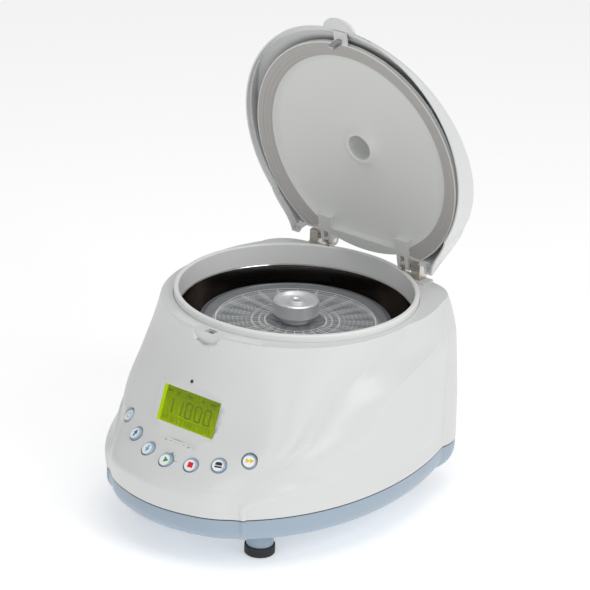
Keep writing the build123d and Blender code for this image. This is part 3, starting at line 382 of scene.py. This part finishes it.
def cut_off(piece, spot, normal):
    """Cuts away what lies beyond a plane of the shut lid and closes the cut."""
    only(piece)
    bpy.ops.object.mode_set(mode="EDIT")
    bpy.ops.mesh.select_all(action="SELECT")
    bpy.ops.mesh.bisect(plane_co=lid_frame @ (Vector(spot) * MM),
                        plane_no=lid_frame.to_3x3() @ Vector(normal), use_fill=True, clear_outer=True)
    bpy.ops.object.mode_set(mode="OBJECT")


# Liner: sight tube, flared mouth, shallow dish, gasket seat and the thin wall of the ring
UNDERSIDE = [(13.5, 267.4), (13.5, 235.2), (13.9, 234.1), (14.8, 233.5), (16, 233.6), (17.4, 234.3),
             (19.5, 235.9), (22.5, 237.4), (27, 238.5), (34, 239.1), (46, 239.3), (60, 238.7), (75, 237.6),
             (88, 236.2), (97, 235.0), (102.5, 234.0), (106, 232.9), (108.6, 231.4), (110.2, 230.1),
             (110.95, 229.8), (111, 231.9), (122.8, 228.5), (126.35, 228.5), (126.45, 225.9), (127.5, 225.9),
             (127.9, 226.4), (127.9, 230.4)]
UPPER_SIDE = [(122.5, 231.2), (112.5, 234.2), (106, 236.6), (97, 238.6), (75, 241.2), (46, 242.6),
              (24, 241.5), (18, 239.8), (15.6, 239.0), (15.6, 267.4)]


def sight_shift(radius):
    """How far a ring's centre moves from the rotor's axis to the sight tube's."""
    return SIGHT_Y * min(1.0, max(0.0, (75 - radius) / 50))


rings = [(radius, sight_shift(radius), height) for radius, height in UNDERSIDE + UPPER_SIDE]
dish = lathe(rings, lid_frame)
cut_off(dish, (0, REAR_CUT, 230), (0, 1, 0))
hinge_part = node_copy("lid_liner", SMOOTH_ANGLE)
cut_off(hinge_part, (0, HINGE_FROM_Y, 230), (0, -1, 0))
cut_off(hinge_part, (HINGE_HALF, 100, 230), (1, 0, 0))
cut_off(hinge_part, (-HINGE_HALF, 100, 230), (-1, 0, 0))
arms = [bar(lid_frame, side * LEG_X, 93, 226.3, (17, 13.4, 9)) for side in (-1, 1)]
striker_block = bar(lid_frame, 0, -137, 221.2, (15, 15, 3.2))
liner_parts = [dish, hinge_part, striker_block] + arms
liner = joined("lid_liner_form", liner_parts, looks["lid_grey"], "lid")
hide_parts("lid_liner")

# Gasket with low ridges round its sloping face
RIDGES = (2, 3, 6, 7, 10)
face = [(111.15 + 0.958 * k, 229.5 - 0.279 * k - 0.4 * (k in RIDGES)) for k in range(13)]
profile = face + [(126.3, 226.15), (126.3, 228.4), (122.8, 228.4), (111.15, 231.8)]
gasket = lathe([(radius, 0, height) for radius, height in profile], lid_frame)
cut_off(gasket, (0, REAR_CUT, 230), (0, 1, 0))
gasket = joined("lid_gasket_form", [gasket], looks["gasket_rubber"], "lid")
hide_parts("lid_gasket")

# Rolled edge of the steel bowl: a real rounded lip, coloured in a steel lighter than the bowl's as a painted
# highlight
edge = lathe([(120, 0, 203.1), (119.4, 0, 203.0), (119.0, 0, 202.3), (119.4, 0, 201.6), (120, 0, 201.4)],
             rotor_frame)
# Steel much lighter than the bowl's: a painted highlight along the rim
rim_highlight_look = turned_metal("bowl_edge_highlight", (0.62, 0.60, 0.58), 0.16, 4000, 0.05)
joined("bowl_edge_highlight", [edge], rim_highlight_look, "casing")

# Display: segments on the front of the window
DISPLAY_TOP = (-159.75, 159.6)
DISPLAY_BOTTOM = (-172.6, 124.8)
DISPLAY_SET = 6.2
SEGMENTS = {"0": "abcdef", "1": "bc", "3": "abcdg", "6": "acdefg", ":": ""}
INK_T = 0.12

DISPLAY_X = -3.0
middle = place(DISPLAY_X, (DISPLAY_TOP[0] + DISPLAY_BOTTOM[0]) / 2, (DISPLAY_TOP[1] + DISPLAY_BOTTOM[1]) / 2)
rise = Vector((0, DISPLAY_TOP[0] - DISPLAY_BOTTOM[0], DISPLAY_TOP[1] - DISPLAY_BOTTOM[1])).normalized()
facing = Vector((1, 0, 0)).cross(rise)
screen = plane_frame(middle - facing * DISPLAY_SET * MM, Vector((1, 0, 0)), facing)


def digit(figure, u, v, width, height, stroke):
    """Bars of one seven-segment figure whose middle is at u, v."""
    half_w, half_h = width / 2 - stroke / 2, height / 2 - stroke / 2
    long = half_h - stroke * 0.35
    spots = {"a": (0, half_h, 0), "g": (0, 0, 0), "d": (0, -half_h, 0),
             "b": (half_w, half_h / 2, 1), "c": (half_w, -half_h / 2, 1),
             "f": (-half_w, half_h / 2, 1), "e": (-half_w, -half_h / 2, 1)}
    bars = []
    for segment in SEGMENTS[figure]:
        du, dv, upright_bar = spots[segment]
        size = (stroke, long, INK_T) if upright_bar else (2 * half_w - stroke * 0.7, stroke, INK_T)
        bars.append(bar(screen, u + du, v + dv, 0, size))
    if figure == ":":
        bars += [bar(screen, u, v + dv, 0, (stroke, stroke, INK_T)) for dv in (-height / 5, height / 5)]
    return bars


def number(text, u, v, pitch, width, height, stroke):
    bars = []
    for k, figure in enumerate(text):
        bars += digit(figure, u + (k - (len(text) - 1) / 2) * pitch, v, width, height, stroke)
    return bars


# Thin strips over a slit beside the window and over nicks in the casing under the display
EDGE_FALL = 0.0022
side_strip = bar(screen, -39.6, 0, 0.25, (2.2, 44, 0.5))
recess_edge = plane_frame(place(0, -181.2, 114.65), Vector((1, 0, 0)), Vector((0, -0.7, 0.71)))
cover_strips = []
for u in range(-16, 21, 4):
    cover_strips.append(bar(recess_edge, u, 0, -EDGE_FALL * (u - 1) ** 2, (4.1, 2.2, 0.25)))
joined("display_edging", [side_strip] + cover_strips, looks["body_white"], "casing")

ink = Look("lcd_ink", (0.13, 0.17, 0.0), 0.5)
big = number("11000", -1.0, -0.5, 12.2, 8.6, 16.5, 1.5)
rules = [bar(screen, 0, 10.6, 0, (66, 0.35, INK_T)), bar(screen, 0, -11.4, 0, (66, 0.35, INK_T))]
rules += [bar(screen, u, -14.2, 0, (0.35, 5.0, INK_T)) for u in (-12, 12)]
ICONS = ((-29, 5), (-18, 3.5), (-3, 6), (14, 3.5), (27, 8))
icons = [bar(screen, u, 13.4, 0, (width, 2.2, INK_T)) for u, width in ICONS]
small = []
for figures, u in (("03:00", -23), ("11000", 0), ("11163", 23)):
    small += number(figures, u, -14.2, 3.2, 2.2, 3.6, 0.45)
joined("lcd_marks", big + rules + icons + small, ink, "casing")

# Key symbols on the white discs
BUTTON_TILT = radians(45)
BUTTON_TURN = 0.38
KEYS = {"power": (-77.9, -162.7, 111.7), "up": (-53.8, -180.4, 105.5), "down": (-27.7, -191.8, 101.1),
        "start": (0, -197.2, 99.7), "stop": (27.7, -191.8, 101.1), "open": (53.8, -180.4, 105.5),
        "spin": (77.9, -162.7, 111.7)}
KEY_TOP = 2.4
FILM_T = 0.04
MARK_AT = KEY_TOP + 2 * FILM_T


def key_plane(name):
    x, y, z = KEYS[name]
    turn = radians(BUTTON_TURN * x)
    out = Vector((sin(turn) * cos(BUTTON_TILT), -cos(turn) * cos(BUTTON_TILT), sin(BUTTON_TILT)))
    return plane_frame(place(x, y, z), Vector((cos(turn), sin(turn), 0)), out)


def tip(plane, u, v, size, turn):
    """A flat triangle that points up its plane before it is turned."""
    return disc(plane, u, v, MARK_AT, (size[0], size[1], INK_T), 3, turn)


def symbol(name, parts, color):
    look = Look("ink_" + name, color, 0.35, coat=0.2)
    joined("mark_" + name, parts, look, "button_" + name)


def flat(plane, u, v, w_size, h_size, turn=0.0):
    return bar(plane, u, v, MARK_AT, (w_size, h_size, INK_T), turn)


def ring(plane, radius, width, gap_turn=0.0, gap=0.0, count=40):
    """A ring of short bars, with an opening where the power symbol has one."""
    parts = []
    step = 2 * pi / count
    for k in range(count):
        turn = k * step
        if abs((turn - gap_turn + pi) % (2 * pi) - pi) > gap:
            parts.append(flat(plane, radius * cos(turn), radius * sin(turn), radius * step * 1.15, width,
                              turn + pi / 2))
    return parts


planes = {name: key_plane(name) for name in KEYS}
pearl = moulded("key_pearl", (0.36, 0.47, 0.58), 0.25, coat=0.4)
key_white = moulded("key_white", (0.88, 0.90, 0.90), 0.28, coat=0.3)
for name, plane in planes.items():
    joined("pearl_" + name, [disc(plane, 0, 0, KEY_TOP, (13.4, 13.4, FILM_T))], pearl,
           "button_" + name)
    joined("face_" + name, [disc(plane, -0.5, -0.6, KEY_TOP + FILM_T, (11.6, 11.6, FILM_T))], key_white,
           "button_" + name)
symbol("power", ring(planes["power"], 3.0, 0.9, pi / 2, 0.5) + [flat(planes["power"], 0, 2.6, 0.9, 3.0)],
       (0.30, 0.50, 0.68))
symbol("up", [flat(planes["up"], 0, -1.9, 2.0, 3.6), tip(planes["up"], 0, 1.2, (6.6, 6.2), 0)],
       (0.02, 0.12, 0.42))
symbol("down", [flat(planes["down"], 0, 1.9, 2.0, 3.6), tip(planes["down"], 0, -1.2, (6.6, 6.2), pi)],
       (0.16, 0.42, 0.70))
symbol("start", [tip(planes["start"], 0.4, 0, (7, 7), -pi / 2)], (0.0, 0.35, 0.06))
symbol("stop", [flat(planes["stop"], 0, 0, 5.6, 5.6)], (0.75, 0.01, 0.02))
symbol("open", [flat(planes["open"], 0, -2.0, 7.4, 1.7), flat(planes["open"], 0, 1.0, 7.0, 2.6),
                flat(planes["open"], 0, 2.6, 4.6, 1.0)], (0.02, 0.02, 0.025))
symbol("spin", [tip(planes["spin"], u, 0, (6, 6), -pi / 2) for u in (-2.2, 2.0)], (0.85, 0.55, 0.02))

# Pale floor and soft studio light
bpy.ops.mesh.primitive_plane_add(size=40)
floor = bpy.context.object
floor.name = "studio_floor"
floor_look = Look("studio_floor", (0.94, 0.94, 0.94), 0.5)
floor_look.shader.inputs["Emission Color"].default_value = (1, 1, 1, 1)
floor_look.shader.inputs["Emission Strength"].default_value = 0.36
floor.data.materials.append(floor_look.material)


def softbox(name, spot, target, size, power):
    bpy.ops.object.light_add(type="AREA", location=spot)
    lamp = bpy.context.object
    lamp.name = name
    lamp.rotation_euler = (Vector(spot) - Vector(target)).to_track_quat("Z", "Y").to_euler()
    lamp.data.shape = "RECTANGLE"
    lamp.data.size, lamp.data.size_y = size
    lamp.data.energy = power


softbox("key_light", (2.2, -0.1, 1.7), (0, 0, 0.2), (1.2, 1.2), 17)
softbox("front_light", (0.9, -2.3, 1.2), (0, 0, 0.25), (1.0, 1.0), 6)
softbox("top_light", (0.5, -0.3, 2.4), (0, 0, 0.15), (1.4, 1.4), 14)
world = bpy.data.worlds.new("studio")
bpy.context.scene.world = world
world.use_nodes = True
world.node_tree.nodes["Background"].inputs[0].default_value = (1, 1, 1, 1)
world.node_tree.nodes["Background"].inputs[1].default_value = 0.45
